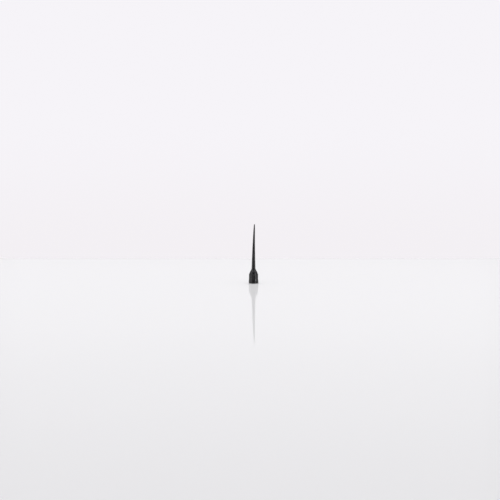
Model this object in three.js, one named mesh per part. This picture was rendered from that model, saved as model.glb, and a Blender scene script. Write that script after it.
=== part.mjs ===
// Disposable pipette tip of about 50 microlitres for a liquid-handling robot, moulded in one piece from
// black conductive polypropylene. It stands on its open rim, as it does on a bench: the origin is the
// centre of the rim, and +Z runs up the tip to the orifice. Sizes are in millimetres.
//
// Every outside size is a bore plus a wall, so the mandrel's seat and the liquid's bore set the tip.
import * as THREE from "three";

// Heights along the tip
const length = 50.4; // rim to orifice
const seatDepth = 7.4; // rim to the inside step that stops the mandrel
const ledgeThickness = 0.75; // from that step up to the outside ledge that hangs the tip in its rack
const shoulderHeight = 5; // ledge to the foot of the long cone
const pointLength = 4.6; // the last stretch, which narrows faster

// Bores
const seatDiameter = 6.6; // takes the mandrel
const mouthChamfer = 0.25; // lead-in at the rim
const stopWidth = 0.75; // width of the step that stops the mandrel
const boreDiameter = 2; // liquid bore at the foot of the cone
const orificeDiameter = 0.46;

// The groove in the seat, where the mandrel's O-ring swells and locks
const grooveHeight = 4.1; // rim to the groove's middle
const grooveWidth = 1.7;
const grooveDepth = 0.2;

// Walls
const collarWall = 0.63;
const coneWall = 0.61; // at the foot of the cone
const pointWall = 0.32; // where the fine point starts
const orificeWall = 0.16;

// Outside details
const rimProud = 0.17; // the band round the mouth stands this far out of the collar
const rimHeight = 1.9;
const rimFade = 1.8; // height over which the band dies into the collar
const rimRounding = 0.2;
const ledgeWidth = 0.5;
const ledgeRounding = 0.16;
const pointRounding = 0.06;
const shoulderFullness = 1.9; // how far the shoulder stays full above the ledge
const shoulderFlare = 1.9; // how far down the cone's own line runs before it opens into the shoulder
const funnelFullness = 1.7; // the same two for the funnel inside
const funnelFlare = 1.9;

// A long thin moulding cools a little out of true: the orifice stands this far off the axis, towards +X.
const coneBow = 0.76;

// Smoothness
const sides = 48;
const cornerSteps = 3;
const sweepSteps = 11;
const coneSteps = 8;
const grooveSteps = 8;

// Radii and heights that follow from the sizes above
const seatRadius = seatDiameter / 2;
const boreRadius = boreDiameter / 2;
const orificeRadius = orificeDiameter / 2;
const collarRadius = seatRadius + collarWall;
const rimRadius = collarRadius + rimProud;
const ledgeHeight = seatDepth + ledgeThickness;
const ledgeRadius = collarRadius - ledgeWidth;
const coneFoot = ledgeHeight + shoulderHeight;
const coneRadius = boreRadius + coneWall;
const pointStart = length - pointLength;
const pointRadius = boreRadiusAt(pointStart) + pointWall;
const endRadius = orificeRadius + orificeWall;

// The liquid bore narrows evenly from the foot of the cone to the orifice.
function boreRadiusAt(height) {
  const share = (height - coneFoot) / (length - coneFoot);
  return THREE.MathUtils.lerp(boreRadius, orificeRadius, share);
}

// In a profile, x is the distance from the axis and y is the height.
function point(radius, height) {
  return new THREE.Vector2(radius, height);
}

function straight(from, to, steps) {
  return new THREE.LineCurve(from, to).getPoints(steps);
}

// Part of a circle about a centre, from one angle to another: 0 points away from the axis, 90 up.
function arc(centre, radius, fromDegrees, toDegrees, steps) {
  const from = THREE.MathUtils.degToRad(fromDegrees);
  const to = THREE.MathUtils.degToRad(toDegrees);
  return new THREE.ArcCurve(centre.x, centre.y, radius, from, to, to < from).getPoints(steps);
}

// An S-shaped sweep that leaves `wide` straight up and meets `narrow` along a line of the given slope,
// which is the change of radius for each millimetre of height.
function sweep(wide, narrow, fullness, flare, slope) {
  const leave = point(wide.x, wide.y + fullness);
  const meet = point(narrow.x - flare * slope, narrow.y - flare);
  return new THREE.CubicBezierCurve(wide, leave, meet, narrow).getPoints(sweepSteps);
}

// Outside, from the rim up to the orifice
function outerProfile() {
  const coneSlope = (pointRadius - coneRadius) / (pointStart - coneFoot);
  const coneBase = point(coneRadius, coneFoot);
  const coneTop = point(pointRadius, pointStart);
  const rimCentre = point(rimRadius - rimRounding, rimRounding);
  const ledgeCentre = point(collarRadius - ledgeRounding, ledgeHeight - ledgeRounding);
  const endCentre = point(endRadius - pointRounding, length - pointRounding);
  return [
    point(seatRadius + mouthChamfer, 0),
    ...arc(rimCentre, rimRounding, -90, 0, cornerSteps),
    point(rimRadius, rimHeight),
    point(collarRadius, rimHeight + rimFade),
    ...arc(ledgeCentre, ledgeRounding, 0, 90, cornerSteps),
    ...sweep(point(ledgeRadius, ledgeHeight), coneBase, shoulderFullness, shoulderFlare, coneSlope),
    ...straight(coneBase, coneTop, coneSteps).slice(1),
    ...arc(endCentre, pointRounding, 0, 90, cornerSteps),
  ];
}

// Inside, from the orifice down to the mouth
function innerProfile() {
  const boreSlope = (orificeRadius - boreRadius) / (length - coneFoot);
  const boreTop = point(orificeRadius, length);
  const boreBase = point(boreRadius, coneFoot);
  const stopEdge = point(seatRadius - stopWidth, seatDepth);
  const grooveRadius = (grooveWidth ** 2 / 4 + grooveDepth ** 2) / (2 * grooveDepth);
  const grooveCentre = point(seatRadius + grooveDepth - grooveRadius, grooveHeight);
  const grooveAngle = THREE.MathUtils.radToDeg(Math.asin(grooveWidth / 2 / grooveRadius));
  return [
    ...straight(boreTop, boreBase, coneSteps),
    ...sweep(stopEdge, boreBase, funnelFullness, funnelFlare, boreSlope).reverse().slice(1),
    point(seatRadius, seatDepth),
    ...arc(grooveCentre, grooveRadius, grooveAngle, -grooveAngle, grooveSteps),
    point(seatRadius, mouthChamfer),
    point(seatRadius + mouthChamfer, 0),
  ];
}

// Moves each ring above the cone's foot sideways, by the square of its share of the cone's height.
function bow(geometry) {
  const position = geometry.getAttribute("position");
  for (let i = 0; i < position.count; i += 1) {
    const share = Math.max(0, (position.getZ(i) - coneFoot) / (length - coneFoot));
    position.setX(i, position.getX(i) + coneBow * share ** 2);
  }
  geometry.computeVertexNormals();
}

function makeTip() {
  const geometry = new THREE.LatheGeometry([...outerProfile(), ...innerProfile()], sides);
  geometry.rotateX(Math.PI / 2); // the lathe turns about Y, and the tip stands along Z
  bow(geometry);
  const blackPolypropylene = new THREE.MeshStandardMaterial({
    color: 0x242527,
    roughness: 0.4,
    metalness: 0,
  });
  const tip = new THREE.Mesh(geometry, blackPolypropylene);
  tip.name = "moulded_tip";
  return tip;
}

const pipetteTip = new THREE.Group();
pipetteTip.name = "pipette_tip";
pipetteTip.add(makeTip());

export default pipetteTip;
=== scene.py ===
import math

import bpy
import numpy as np
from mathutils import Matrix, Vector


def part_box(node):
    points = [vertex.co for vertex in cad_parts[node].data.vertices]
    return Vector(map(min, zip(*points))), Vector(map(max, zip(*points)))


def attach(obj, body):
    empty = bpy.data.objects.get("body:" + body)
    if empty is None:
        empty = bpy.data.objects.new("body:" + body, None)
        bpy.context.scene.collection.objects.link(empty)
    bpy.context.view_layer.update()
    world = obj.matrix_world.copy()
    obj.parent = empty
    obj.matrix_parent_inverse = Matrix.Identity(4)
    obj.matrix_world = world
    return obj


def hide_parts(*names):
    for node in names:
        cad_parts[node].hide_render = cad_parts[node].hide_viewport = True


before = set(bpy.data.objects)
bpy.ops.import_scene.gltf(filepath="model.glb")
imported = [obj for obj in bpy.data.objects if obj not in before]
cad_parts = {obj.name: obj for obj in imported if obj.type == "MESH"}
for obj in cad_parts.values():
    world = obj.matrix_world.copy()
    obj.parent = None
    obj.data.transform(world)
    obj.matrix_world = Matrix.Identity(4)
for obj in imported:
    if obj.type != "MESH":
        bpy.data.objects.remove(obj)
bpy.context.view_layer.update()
mm = 0.001

# Sizes of the moulding in millimetres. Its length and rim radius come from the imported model's box.
tip = {
    "segments": 224,  # round the axis
    "cornerSteps": 9,  # points in each rounded corner
    "seatDepth": 7.4,  # rim to the step that stops the mandrel
    "ledgeThickness": 0.75,  # from that step up to the outside ledge
    "shoulderHeight": 5.0,
    "pointLength": 4.6,  # the last stretch, which narrows faster
    "mouthChamfer": 0.25,
    "stopWidth": 0.75,
    "boreRadius": 1.0,
    "orificeRadius": 0.23,
    "grooveHeight": 4.1,  # the O-ring's groove in the seat
    "grooveWidth": 1.7,
    "grooveDepth": 0.2,
    "collarWall": 0.63,
    "coneWall": 0.61,
    "pointWall": 0.32,
    "orificeWall": 0.16,
    "rimProud": 0.17,  # the band round the mouth, and the height over which it dies away
    "rimHeight": 1.9,
    "rimFade": 1.8,
    "ledgeWidth": 0.5,
    "shoulderFullness": 1.9,  # how far the shoulder stays full, and how far down the cone's line runs
    "shoulderFlare": 1.9,
    "funnelFullness": 1.7,
    "funnelFlare": 1.9,
    "coneBow": 0.76,  # how far the orifice stands off the axis, towards +X
    "outOfRound": 0.006,  # how far it goes oval, and then the turn, share and twist of its three lobes
    "ovalTurn": 0.7,
    "lobeShare": 0.5,
    "lobeTwist": 0.21,
    "witnessHeight": 0.02,  # the fine ridge where two plates of the mould met
    "witnessWidth": 0.09,
    "witnessDrop": 0.2,  # from the top of the band down to the ridge
    "witnessClear": 0.1,  # straight stretch below it
    "gateAngle": 140.0,  # degrees round from +X, where the plastic entered
    "gateHeight": 0.98,
    "gateRadius": 0.34,
    "gateProud": 0.035,
    "gateDimple": 0.7,  # its share of the gate's height, and its radius as a share of the gate's
    "gateDimpleRadius": 0.45,
    "gateDepth": 0.03,  # the mark is only on points this near the band's face and above this height
    "gateFoot": 0.3,
    "mouthRounding": 0.06,  # radii of the corners, up the outside and down the inside
    "rimRounding": 0.2,
    "witnessRounding": 0.01,
    "bandRounding": 1.2,
    "collarRounding": 3.0,
    "ledgeRounding": 0.16,
    "ledgeFootRounding": 0.08,
    "pointBlend": 50.0,  # the long soft bend where the point starts
    "pointRounding": 0.06,
    "boreRounding": 0.03,
    "stopRounding": 0.08,
    "seatRounding": 0.12,
    "grooveRounding": 0.1,
}

low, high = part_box("moulded_tip")
tip["length"] = (high.z - low.z) / mm
tip["rimRadius"] = high.y / mm


# Evenly spaced points from start up to but not end, the first one carrying its corner's rounding
def leg(start, end, rounding, count):
    share = np.linspace(0, 1, count, endpoint=False)[:, None]
    points = np.array(start) * (1 - share) + np.array(end) * share
    return np.column_stack([points, np.r_[rounding, np.zeros(count - 1)]])


# Curve points with their last one left out, the first one carrying its corner's rounding
def curveRun(points, rounding):
    return np.column_stack([points[:-1], np.r_[rounding, np.zeros(len(points) - 2)]])


# Cubic Bezier from wide to narrow: it leaves wide straight up, and meets narrow along the slope given,
# which is the change of radius for each millimetre of height.
def sweep(wide, narrow, fullness, flare, slope, count):
    t = np.linspace(0, 1, count)[:, None]
    leave = np.array([wide[0], wide[1] + fullness])
    meet = np.array([narrow[0] - flare * slope, narrow[1] - flare])
    ends = (1 - t) ** 3 * np.array(wide) + t**3 * np.array(narrow)
    return ends + 3 * (1 - t) ** 2 * t * leave + 3 * (1 - t) * t**2 * meet


# Groove in the seat's wall: the part of a circle that stands depth out of the wall and width tall, from
# its top down. The circle's radius is ((width / 2)^2 + depth^2) / (2 depth).
def grooveArc(seatRadius, t, count):
    half = t["grooveWidth"] / 2
    radius = (half**2 + t["grooveDepth"] ** 2) / (2 * t["grooveDepth"])
    turn = np.linspace(1, -1, count) * math.asin(half / radius)
    centre = seatRadius + t["grooveDepth"] - radius
    return np.column_stack([centre + radius * np.cos(turn), t["grooveHeight"] + radius * np.sin(turn)])


# The closed outline of one wall section, as rows of radius, height and corner rounding: up the outside
# from the mouth to the orifice, then down the bore, the funnel and the seat.
def wallOutline(t):
    rimRadius = t["rimRadius"]
    collarRadius = rimRadius - t["rimProud"]
    seatRadius = collarRadius - t["collarWall"]
    ledgeHeight = t["seatDepth"] + t["ledgeThickness"]
    coneHeight = ledgeHeight + t["shoulderHeight"]
    pointHeight = t["length"] - t["pointLength"]
    share = (pointHeight - coneHeight) / (t["length"] - coneHeight)
    ridgeTop = t["rimHeight"] - t["witnessDrop"] + t["witnessWidth"]

    # Corners of the outside, from the mouth up
    mouth = (seatRadius + t["mouthChamfer"], 0)
    rim = (rimRadius, 0)
    belowRidge = (rimRadius, ridgeTop - t["witnessWidth"] - t["witnessClear"])
    ridgeFoot = (rimRadius, ridgeTop - t["witnessWidth"])
    ridge = (rimRadius + t["witnessHeight"], ridgeTop - t["witnessWidth"] / 2)
    ridgeHead = (rimRadius, ridgeTop)
    bandTop = (rimRadius, t["rimHeight"])
    collarFoot = (collarRadius, t["rimHeight"] + t["rimFade"])
    collarTop = (collarRadius, ledgeHeight)
    ledge = (collarRadius - t["ledgeWidth"], ledgeHeight)
    cone = (t["boreRadius"] + t["coneWall"], coneHeight)
    pointRadius = t["boreRadius"] + (t["orificeRadius"] - t["boreRadius"]) * share + t["pointWall"]
    point = (pointRadius, pointHeight)
    end = (t["orificeRadius"] + t["orificeWall"], t["length"])

    # Corners of the inside, from the orifice down
    orifice = (t["orificeRadius"], t["length"])
    bore = (t["boreRadius"], coneHeight)
    stop = (seatRadius - t["stopWidth"], t["seatDepth"])
    seatTop = (seatRadius, t["seatDepth"])
    seatFoot = (seatRadius, t["mouthChamfer"])

    coneSlope = (point[0] - cone[0]) / (point[1] - cone[1])
    boreSlope = (orifice[0] - bore[0]) / (orifice[1] - bore[1])
    shoulder = sweep(ledge, cone, t["shoulderFullness"], t["shoulderFlare"], coneSlope, 36)
    funnel = sweep(stop, bore, t["funnelFullness"], t["funnelFlare"], boreSlope, 30)
    groove = grooveArc(seatRadius, t, 22)

    # Each stretch has its two ends, the rounding of its first corner and a number of stations
    return np.vstack(
        [
            leg(mouth, rim, t["mouthRounding"], 2),
            leg(rim, belowRidge, t["rimRounding"], 7),
            leg(belowRidge, ridgeFoot, 0, 1),
            leg(ridgeFoot, ridge, t["witnessRounding"], 1),
            leg(ridge, ridgeHead, t["witnessRounding"], 1),
            leg(ridgeHead, bandTop, t["witnessRounding"], 1),
            leg(bandTop, collarFoot, t["bandRounding"], 3),
            leg(collarFoot, collarTop, t["collarRounding"], 16),
            leg(collarTop, ledge, t["ledgeRounding"], 2),
            curveRun(shoulder, t["ledgeFootRounding"]),
            leg(cone, point, 0, 40),
            leg(point, end, t["pointBlend"], 6),
            leg(end, orifice, t["pointRounding"], 1),
            leg(orifice, bore, t["boreRounding"], 32),
            curveRun(funnel[::-1], 0),
            leg(stop, seatTop, t["stopRounding"], 2),
            leg(seatTop, groove[0], t["seatRounding"], 6),
            curveRun(groove, t["grooveRounding"]),
            leg(groove[-1], seatFoot, t["grooveRounding"], 8),
            leg(seatFoot, mouth, t["seatRounding"], 1),
        ]
    )


# Every corner of a closed outline becomes an arc that touches both its legs: the arc starts its
# rounding times the tangent of half the turn before the corner, and swings through the turn about a
# centre one rounding away.
def roundCorners(outline, steps):
    corner, rounding = outline[:, :2], outline[:, 2:]
    before = corner - np.roll(corner, 1, axis=0)
    before /= np.linalg.norm(before, axis=1, keepdims=True)
    after = np.roll(before, -1, axis=0)
    cross = before[:, 0] * after[:, 1] - before[:, 1] * after[:, 0]
    turn = np.arctan2(cross, (before * after).sum(axis=1))[:, None]
    inward = np.sign(turn) * np.column_stack([-before[:, 1], before[:, 0]])
    centre = corner - before * rounding * np.tan(np.abs(turn) / 2) + inward * rounding
    swing = (np.abs(turn) * np.linspace(0, 1, steps))[:, :, None]
    arc = before[:, None] * np.sin(swing) - inward[:, None] * np.cos(swing)
    points = (centre[:, None] + arc * rounding[:, None]).reshape(-1, 2)
    gap = np.linalg.norm(points - np.roll(points, 1, axis=0), axis=1)
    return points[gap > 1e-6]


# Raised disc that the trimmed gate leaves on the rim: its height times exp(-r^6), less a dimple's share
# times exp(-(r / dimple)^2), where r is the distance from the gate in gate radii.
def gateMark(t, angle, height):
    around = (angle - math.radians(t["gateAngle"])) * t["rimRadius"]
    r = np.hypot(around, height - t["gateHeight"]) / t["gateRadius"]
    dimple = t["gateDimple"] * np.exp(-((r / t["gateDimpleRadius"]) ** 2))
    return t["gateProud"] * (np.exp(-(r**6)) - dimple)


# Surface f(angle, station): the outline's radius and height at that station, carried round the axis.
# The radius wavers a little, by cos(2 angle) and a share of sin(3 angle), and each ring moves to +X by
# the bow times the square of its share of the cone.
def tipSurface(t, outline):
    angle = np.linspace(0, 2 * math.pi, t["segments"], endpoint=False)[None, :]
    radius, height = outline[:, :1], outline[:, 1:]
    coneHeight = t["seatDepth"] + t["ledgeThickness"] + t["shoulderHeight"]
    share = np.clip((height - coneHeight) / (t["length"] - coneHeight), 0, None)
    lobes = np.sin(3 * angle - t["lobeTwist"] * height)
    waver = np.cos(2 * angle + t["ovalTurn"]) + t["lobeShare"] * lobes
    onBand = (radius > t["rimRadius"] - t["gateDepth"]) & (height > t["gateFoot"])
    wide = radius * (1 + t["outOfRound"] * waver / t["rimRadius"]) + onBand * gateMark(t, angle, height)
    x = wide * np.cos(angle) + t["coneBow"] * share**2
    y = wide * np.sin(angle)
    return np.stack([x, y, height + 0 * angle], axis=-1) * mm


# Mesh of a grid that closes on itself both ways, each ring joined to the next and the last to the
# first. In its map, across is the angle and up is the distance climbed along the outline: the outside
# of the wall has the left part and the inside the right part.
def closedGridMesh(name, grid, outsideRings):
    rings, segments = grid.shape[:2]
    ring = np.arange(rings)[:, None]
    segment = np.arange(segments)[None, :]
    this, following = ring * segments, (ring + 1) % rings * segments
    nextSegment = (segment + 1) % segments
    corners = [this + segment, this + nextSegment, following + nextSegment, following + segment]
    faces = np.stack(corners, axis=-1).reshape(-1, 4)
    mesh = bpy.data.meshes.new(name)
    mesh.vertices.add(rings * segments)
    mesh.vertices.foreach_set("co", grid.reshape(-1).astype(np.float32))
    mesh.loops.add(faces.size)
    mesh.loops.foreach_set("vertex_index", faces.reshape(-1).astype(np.int32))
    mesh.polygons.add(len(faces))
    mesh.polygons.foreach_set("loop_start", np.arange(0, faces.size, 4, dtype=np.int32))
    mesh.polygons.foreach_set("use_smooth", np.ones(len(faces), dtype=bool))
    mesh.update(calc_edges=True)

    step = np.linalg.norm(np.roll(grid[:, 0], -1, axis=0) - grid[:, 0], axis=1)
    climb = np.r_[0, np.cumsum(step)]
    outsideMap, insideMap = (0.01, 0.58), (0.61, 0.38)  # left side and width of each part
    margin = 0.005
    isOutside = ring < outsideRings
    start = np.where(isOutside, 0, climb[outsideRings])
    span = np.where(isOutside, climb[outsideRings], climb[-1] - climb[outsideRings])
    left, width = (np.where(isOutside, *both) for both in zip(outsideMap, insideMap))
    u0 = left + width * segment / segments
    u1 = left + width * (segment + 1) / segments
    v0 = margin + (1 - 2 * margin) * (climb[:-1, None] - start) / span + 0 * segment
    v1 = margin + (1 - 2 * margin) * (climb[1:, None] - start) / span + 0 * segment
    mapCorners = np.stack([u0, v0, u1, v0, u1, v1, u0, v1], axis=-1)
    layer = mesh.uv_layers.new(name="OFBake")
    layer.uv.foreach_set("vector", mapCorners.reshape(-1).astype(np.float32))
    return mesh


# Node of one kind, with the values of its inputs and its other settings
def addNode(tree, kind, inputs=None, **settings):
    node = tree.nodes.new(kind)
    for name, value in settings.items():
        setattr(node, name, value)
    for name, value in (inputs or {}).items():
        node.inputs[name].default_value = value
    return node


# Noise on coordinates already in millimetres, with a scale for each direction
def addNoise(tree, place, scale, detail, roughness):
    noise = addNode(tree, "ShaderNodeTexNoise", {"Scale": 1.0, "Detail": detail, "Roughness": roughness})
    stretch = addNode(tree, "ShaderNodeMapping", {"Scale": scale})
    tree.links.new(place, stretch.inputs["Vector"])
    tree.links.new(stretch.outputs["Vector"], noise.inputs["Vector"])
    return noise.outputs["Fac"]


# The range from low to high becomes the range from start to end, with nothing beyond either: straight,
# or as 3x^2 - 2x^3 where smooth
def addRange(tree, value, low, high, start=0.0, end=1.0, smooth=False):
    limits = {"From Min": low, "From Max": high, "To Min": start, "To Max": end}
    kind = "SMOOTHSTEP" if smooth else "LINEAR"
    step = addNode(tree, "ShaderNodeMapRange", limits, interpolation_type=kind)
    tree.links.new(value, step.inputs["Value"])
    return step.outputs["Result"]


# One sum, product or other operation on values that are each a number or a node's output
def addMath(tree, operation, *values):
    result = addNode(tree, "ShaderNodeMath", operation=operation)
    for socket, value in zip(result.inputs, values):
        if isinstance(value, (int, float)):
            socket.default_value = value
        else:
            tree.links.new(value, socket)
    return result.outputs["Value"]


# Colour that goes from first to second with the share, each a colour or a node's output
def addMix(tree, share, first, second):
    mix = addNode(tree, "ShaderNodeMix", data_type="RGBA")
    tree.links.new(share, mix.inputs[0])
    for socket, value in zip((mix.inputs[6], mix.inputs[7]), (first, second)):
        if isinstance(value, tuple):
            socket.default_value = value
        else:
            tree.links.new(value, socket)
    return mix.outputs[2]


# The black plastic. Colours are linear, scales are per millimetre and lengths are in millimetres.
plastic = {
    "deep": (0.0038, 0.0040, 0.0044, 1),
    "pale": (0.0175, 0.0178, 0.0184, 1),
    "wearAndEdgeHighlight": (0.030, 0.0305, 0.0315, 1),  # rubbed corners of the rim and ledge, which also stand as a painted highlight along those corners, the torn face of the gate and specks of filler
    "ior": 1.46,
    "collarRoughness": 0.28,  # the mould was spark-finished at the collar and polished at the cone
    "coneRoughness": 0.24,
    "wornRoughness": 0.44,
    "roughnessSwing": 0.08,
    "patterns": {  # scale for each direction, detail and roughness
        "mottle": ((0.42, 0.42, 0.42), 4.0, 0.6),
        "streaks": ((3.2, 3.2, 0.16), 1.2, 0.5),
        "rings": ((0.16, 0.16, 3.1), 1.0, 0.5),
        "peel": ((1.7, 1.7, 1.7), 1.0, 0.4),
        "grain": ((8.0, 8.0, 8.0), 0.5, 0.4),
    },
    "relief": {"streaks": 0.0090, "rings": 0.0045, "peel": 0.0085, "grain": 0.0016},
    "coneRelief": 0.22,  # how much of the collar's relief the polished cone has
    "streakTone": 0.6,  # how strongly the streaks draw out the mottling
    "toneRange": (0.7, 1.15),  # this range of the drawn-out mottling goes from deep to pale
    "finishRange": (-0.2, 0.3),  # from the ledge: where the collar's finish changes to the cone's
    "unevenRange": (0.7, 1.3),  # this range of streaks and peel swings the roughness
    "rimWearAndHighlight": (0.06, 0.26),  # heights over which the rubbed corner of the rim dies away: paler as wear and as a painted highlight along the corner
    "ledgeWearAndHighlight": (-0.2, -0.08, -0.02, 0.01),  # from the ledge: where its wear and painted highlight start, are full, and stop
    "gateWear": 0.8,  # most of it, over all but the edge of the torn gate
    "gateEdge": (0.7, 1.05),  # where that edge starts and stops, as a share of the gate's radius
    "gateGrain": (0.3, 0.6, 0.4, 1.0),  # this range of the grain breaks the gate's wear by this range
    "speckWear": 0.5,
    "speckScale": 2.1,
    "speckSize": 0.13,
    "speckShare": 0.16,  # how many of the cells hold a speck
}


# Where the surface is paler: the rubbed corners of the rim and the ledge, painted paler all round both as
# wear and as a painted highlight along the corners, the torn gate and the specks of filler, whichever is
# strongest. The second result is the torn gate alone.
def addWearAndEdgeHighlight(tree, place, height, noise, p, t):
    ledge = t["seatDepth"] + t["ledgeThickness"]
    start, full, fade, stop = (ledge + apart for apart in p["ledgeWearAndHighlight"])
    rise = addRange(tree, height, start, full, smooth=True)
    fall = addRange(tree, height, fade, stop, 1.0, 0.0, smooth=True)
    rimCornerWearAndHighlight = addRange(tree, height, *p["rimWearAndHighlight"], 1.0, 0.0, smooth=True)
    # The rim and ledge corners are painted paler: rubbed wear, and a painted highlight along each corner
    corners = addMath(tree, "MAXIMUM", addMath(tree, "MULTIPLY", rise, fall), rimCornerWearAndHighlight)
    corners = addMath(tree, "MULTIPLY", corners, noise["mottle"])

    angle = math.radians(t["gateAngle"])
    gate = addNode(tree, "ShaderNodeVectorMath", operation="DISTANCE")
    gate.inputs[1].default_value = (
        t["rimRadius"] * math.cos(angle),
        t["rimRadius"] * math.sin(angle),
        t["gateHeight"],
    )
    tree.links.new(place, gate.inputs[0])
    inner, outer = (share * t["gateRadius"] for share in p["gateEdge"])
    torn = addRange(tree, gate.outputs["Value"], inner, outer, p["gateWear"], 0.0, smooth=True)
    torn = addMath(tree, "MULTIPLY", torn, addRange(tree, noise["grain"], *p["gateGrain"]))

    cells = addNode(tree, "ShaderNodeTexVoronoi", {"Scale": p["speckScale"]})
    tree.links.new(place, cells.inputs["Vector"])
    chance = addNode(tree, "ShaderNodeSeparateColor")
    tree.links.new(cells.outputs["Color"], chance.inputs["Color"])
    size = p["speckSize"]
    dot = addRange(tree, cells.outputs["Distance"], size / 2, size, p["speckWear"], 0.0, smooth=True)
    chosen = addMath(tree, "LESS_THAN", chance.outputs["Red"], p["speckShare"])
    specks = addMath(tree, "MULTIPLY", dot, chosen)
    return addMath(tree, "MAXIMUM", addMath(tree, "MAXIMUM", corners, torn), specks), torn


def makeBlackPolypropylene(p, t):
    material = bpy.data.materials.new("black_polypropylene")
    material.use_nodes = True
    tree = material.node_tree
    link = tree.links.new
    shader = tree.nodes["Principled BSDF"]
    shader.inputs["IOR"].default_value = p["ior"]
    coordinates = addNode(tree, "ShaderNodeTexCoord")
    inMillimetres = addNode(tree, "ShaderNodeMapping", {"Scale": (1 / mm, 1 / mm, 1 / mm)})
    link(coordinates.outputs["Object"], inMillimetres.inputs["Vector"])
    place = inMillimetres.outputs["Vector"]
    parts = addNode(tree, "ShaderNodeSeparateXYZ")
    link(place, parts.inputs["Vector"])
    height = parts.outputs["Z"]
    noise = {name: addNoise(tree, place, *pattern) for name, pattern in p["patterns"].items()}
    wearAndEdgeHighlight, torn = addWearAndEdgeHighlight(tree, place, height, noise, p, t)

    # Colour: soft mottling, drawn out by the flow streaks, and paler where worn and where a highlight is
    # painted along the rim and ledge corners
    cloud = addMath(tree, "MULTIPLY_ADD", noise["streaks"], p["streakTone"], noise["mottle"])
    clean = addMix(tree, addRange(tree, cloud, *p["toneRange"]), p["deep"], p["pale"])
    link(addMix(tree, wearAndEdgeHighlight, clean, p["wearAndEdgeHighlight"]), shader.inputs["Base Color"])

    # Roughness: the collar's or the cone's, broken up by the streaks and the peel, and more where the
    # gate tore
    ledge = t["seatDepth"] + t["ledgeThickness"]
    swing = p["roughnessSwing"]
    start, stop = (ledge + apart for apart in p["finishRange"])
    finish = addRange(tree, height, start, stop, p["collarRoughness"], p["coneRoughness"], smooth=True)
    uneven = addMath(tree, "ADD", noise["streaks"], noise["peel"])
    finish = addMath(tree, "ADD", finish, addRange(tree, uneven, *p["unevenRange"], -swing, swing))
    extra = addMath(tree, "MULTIPLY", torn, p["wornRoughness"] - p["collarRoughness"])
    link(addMath(tree, "ADD", finish, extra), shader.inputs["Roughness"])

    # Relief, from the long shallow flow marks to the fine grain, fading from the collar to the cone
    depth = addRange(tree, height, ledge, ledge + t["shoulderHeight"], 1.0, p["coneRelief"], smooth=True)
    normal = None
    for name, bump in p["relief"].items():
        relief = addNode(tree, "ShaderNodeBump", {"Strength": 1.0, "Distance": bump * mm})
        link(addMath(tree, "MULTIPLY", noise[name], depth), relief.inputs["Height"])
        if normal:
            link(normal, relief.inputs["Normal"])
        normal = relief.outputs["Normal"]
    link(normal, shader.inputs["Normal"])
    print("black polypropylene:", len(tree.nodes), "nodes")
    return material


def makeTip(t, material):
    outline = roundCorners(wallOutline(t), t["cornerSteps"])
    topRing = int(np.argmax(outline[:, 1] - 0.01 * outline[:, 0]))  # the innermost of the highest rings
    mesh = closedGridMesh("mouldedTip", tipSurface(t, outline), topRing)
    mesh.materials.append(material)
    piece = bpy.data.objects.new("tip_moulding", mesh)
    bpy.context.scene.collection.objects.link(piece)
    print("tip moulding:", len(outline), "rings,", 2 * len(mesh.polygons), "triangles")
    return piece


tipMoulding = makeTip(tip, makeBlackPolypropylene(plastic, tip))
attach(tipMoulding, "root")
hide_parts("moulded_tip")

# The sheet of glossy white acrylic that the tip stands on, and the pale room round it, in metres
studio = {
    "sheetColour": (0.878, 0.886, 0.878, 1),
    # painted shadow along the sheet's back edge, and the depth over which it fades in
    "sheetEdgeShadeColour": (0.845, 0.852, 0.845, 1),
    "sheetEdgeShadeFade": 0.05,
    "sheetCoat": 0.47,
    "sheetCoatRoughness": 0.03,
    "sheetHalfWidth": 1.6,
    "sheetFront": -1.6,
    "sheetBack": 0.28,
    "wallFootColour": (0.899, 0.871, 0.901, 1),
    "wallColour": (0.922, 0.902, 0.938, 1),
    "wallRise": (-0.075, 0.04),  # where one goes to the other, as the sine of the angle above the horizon
}


# Material whose shader is wholly matt, until something is set on it
def makeMatt(name):
    material = bpy.data.materials.new(name)
    material.use_nodes = True
    shader = material.node_tree.nodes["Principled BSDF"]
    shader.inputs["Roughness"].default_value = 1.0
    shader.inputs["Specular IOR Level"].default_value = 0.0
    return material, shader


# The sheet is a little greyer along its back edge: a painted shadow near its far edge
def makeSheet(s):
    x, front, back = s["sheetHalfWidth"], s["sheetFront"], s["sheetBack"]
    mesh = bpy.data.meshes.new("acrylicSheet")
    mesh.from_pydata([(-x, front, 0), (x, front, 0), (x, back, 0), (-x, back, 0)], [], [(0, 1, 2, 3)])
    material, shader = makeMatt("white_acrylic")
    shader.inputs["Coat Weight"].default_value = s["sheetCoat"]
    shader.inputs["Coat Roughness"].default_value = s["sheetCoatRoughness"]
    tree = material.node_tree
    place = addNode(tree, "ShaderNodeTexCoord")
    along = addNode(tree, "ShaderNodeSeparateXYZ")
    tree.links.new(place.outputs["Object"], along.inputs["Vector"])
    # painted shadow: the sheet darkens towards its back edge
    backEdgeShade = addRange(tree, along.outputs["Y"], back - s["sheetEdgeShadeFade"], back, smooth=True)
    colour = addMix(tree, backEdgeShade, s["sheetColour"], s["sheetEdgeShadeColour"])
    tree.links.new(colour, shader.inputs["Base Color"])
    mesh.materials.append(material)
    sheet = bpy.data.objects.new("acrylic_sheet", mesh)
    bpy.context.scene.collection.objects.link(sheet)


# The room is one pale wall all round, a little greyer at its foot
def makeRoom(s):
    world = bpy.data.worlds.new("paleRoom")
    world.use_nodes = True
    tree = world.node_tree
    direction = addNode(tree, "ShaderNodeTexCoord")
    parts = addNode(tree, "ShaderNodeSeparateXYZ")
    tree.links.new(direction.outputs["Generated"], parts.inputs["Vector"])
    rise = addRange(tree, parts.outputs["Z"], *s["wallRise"], smooth=True)
    colour = addMix(tree, rise, s["wallFootColour"], s["wallColour"])
    tree.links.new(colour, tree.nodes["Background"].inputs["Color"])
    bpy.context.scene.world = world


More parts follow.
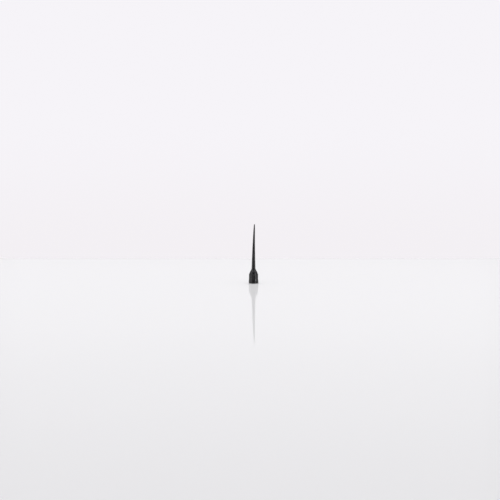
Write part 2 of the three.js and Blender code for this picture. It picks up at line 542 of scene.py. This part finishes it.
# Black cloth hung in a ring round the tip, unseen by the camera, which gives the plastic its dark
# bands. A panel is its middle angle and half width in degrees, its top in metres and its density: 0 is
# in front, towards -Y, and 90 is towards +X. It fades away over the feather, in degrees, at its sides,
# and in metres at its top.
cloth = {
    "distance": 1.6,
    "low": -0.25,
    "top": 5.2,
    "feather": 12.0,
    "topFeather": 0.6,
    "colour": (0.05, 0.05, 0.052, 1),
    "columns": 181,
    "rows": 28,
    "panels": [(-1, 41, 2.2, 1.0), (93, 26, 1.0, 1.0), (131, 25, 1.2, 1.0), (-128, 28, 1.4, 0.7)],
}


# 3x^2 - 2x^3, from 0 to 1
def softStep(x):
    x = np.clip(x, 0, 1)
    return x * x * (3 - 2 * x)


# A point of the cloth is the distance times (sin angle, -cos angle), at its height. The density there
# is the greatest of the panels', which is the alpha of the cloth.
def makeCloth(c):
    angle = np.linspace(-180, 180, c["columns"])[None, :]
    height = np.linspace(c["low"], c["top"], c["rows"])[:, None]
    density = np.zeros((c["rows"], c["columns"]))
    for middle, halfWidth, top, most in c["panels"]:
        apart = np.abs((angle - middle + 180) % 360 - 180)
        across = softStep((halfWidth - apart) / c["feather"] + 0.5)
        upward = softStep((top - height) / c["topFeather"])
        density = np.maximum(density, most * across * upward)
    x = c["distance"] * np.sin(np.radians(angle)) + 0 * height
    y = -c["distance"] * np.cos(np.radians(angle)) + 0 * height
    points = np.stack([x, y, height + 0 * angle], axis=-1).reshape(-1, 3)
    index = np.arange(density.size).reshape(density.shape)
    corners = [index[:-1, :-1], index[:-1, 1:], index[1:, 1:], index[1:, :-1]]
    mesh = bpy.data.meshes.new("blackCloth")
    mesh.from_pydata(points.tolist(), [], np.stack(corners, axis=-1).reshape(-1, 4).tolist())
    thickness = mesh.attributes.new("thickness", "FLOAT", "POINT")
    thickness.data.foreach_set("value", density.reshape(-1).astype(np.float32))
    material, shader = makeMatt("black_cloth")
    shader.inputs["Base Color"].default_value = c["colour"]
    weave = addNode(material.node_tree, "ShaderNodeAttribute", attribute_name="thickness")
    material.node_tree.links.new(weave.outputs["Fac"], shader.inputs["Alpha"])
    mesh.materials.append(material)
    ring = bpy.data.objects.new("black_cloth", mesh)
    ring.visible_camera = False
    bpy.context.scene.collection.objects.link(ring)


# Softboxes as name: angle round the tip and height of its centre above the sheet, in degrees, distance,
# width and height in metres, and watts
softboxes = {
    "strip_softbox": (61, 7, 1.3, 0.1, 0.56, 3.0),
    "side_softbox": (-62, 7, 1.3, 0.5, 0.56, 1.2),
    "right_softbox": (75, 44, 1.5, 1.1, 1.0, 2.5),
    "left_softbox": (-75, 44, 1.5, 1.1, 1.0, 2.5),
    "top_softbox": (180, 80, 1.5, 1.6, 1.6, 3.4),
}
softboxPeak = 1.98  # brightness in the middle, as a share of its mean


# A softbox's centre is the distance times (sin angle cos height, -cos angle cos height, sin height),
# and it faces the tip. Its brightness falls off as (1 - x^4)^2 (1 - y^4)^2, where x and y run from -1
# to 1.
def makeSoftbox(name, angle, height, distance, width, tall, watts):
    data = bpy.data.lights.new(name, "AREA")
    data.shape = "RECTANGLE"
    data.size = width
    data.size_y = tall
    data.energy = watts
    data.use_nodes = True
    tree = data.node_tree
    across = addNode(tree, "ShaderNodeNewGeometry")
    sides = addNode(tree, "ShaderNodeSeparateXYZ")
    tree.links.new(across.outputs["Parametric"], sides.inputs["Vector"])
    light = softboxPeak
    for side in ("X", "Y"):
        centred = addMath(tree, "MULTIPLY_ADD", sides.outputs[side], 2.0, -1.0)
        fourth = addMath(tree, "POWER", addMath(tree, "ABSOLUTE", centred), 4.0)
        fall = addMath(tree, "SUBTRACT", 1.0, fourth)
        light = addMath(tree, "MULTIPLY", light, addMath(tree, "MULTIPLY", fall, fall))
    tree.links.new(light, tree.nodes["Emission"].inputs["Strength"])
    lamp = bpy.data.objects.new(name, data)
    a, h = math.radians(angle), math.radians(height)
    direction = (math.sin(a) * math.cos(h), -math.cos(a) * math.cos(h), math.sin(h))
    lamp.location = np.array(direction) * distance
    lamp.rotation_euler = (math.pi / 2 - h, 0, a)
    lamp.visible_camera = False
    bpy.context.scene.collection.objects.link(lamp)


makeSheet(studio)
makeRoom(studio)
makeCloth(cloth)
for boxName, setting in softboxes.items():
    makeSoftbox(boxName, *setting)
print("studio set up")

# Camera in front of the tip, in metres, looking down a little
view = {
    "distance": 1.0046,
    "height": 0.0987,
    "aside": -0.00302,
    "downDegrees": 4.0,
    "lens": 85.0,  # these two in millimetres
    "sensor": 36.0,
}


def makeCamera(v):
    data = bpy.data.cameras.new("camera")
    data.lens = v["lens"]
    data.sensor_width = v["sensor"]
    camera = bpy.data.objects.new("camera", data)
    camera.location = (v["aside"], -v["distance"], v["height"])
    camera.rotation_euler = (math.radians(90 - v["downDegrees"]), 0, 0)
    bpy.context.scene.collection.objects.link(camera)
    bpy.context.scene.camera = camera


makeCamera(view)
bpy.context.scene.view_settings.view_transform = "Standard"
print("camera set up")
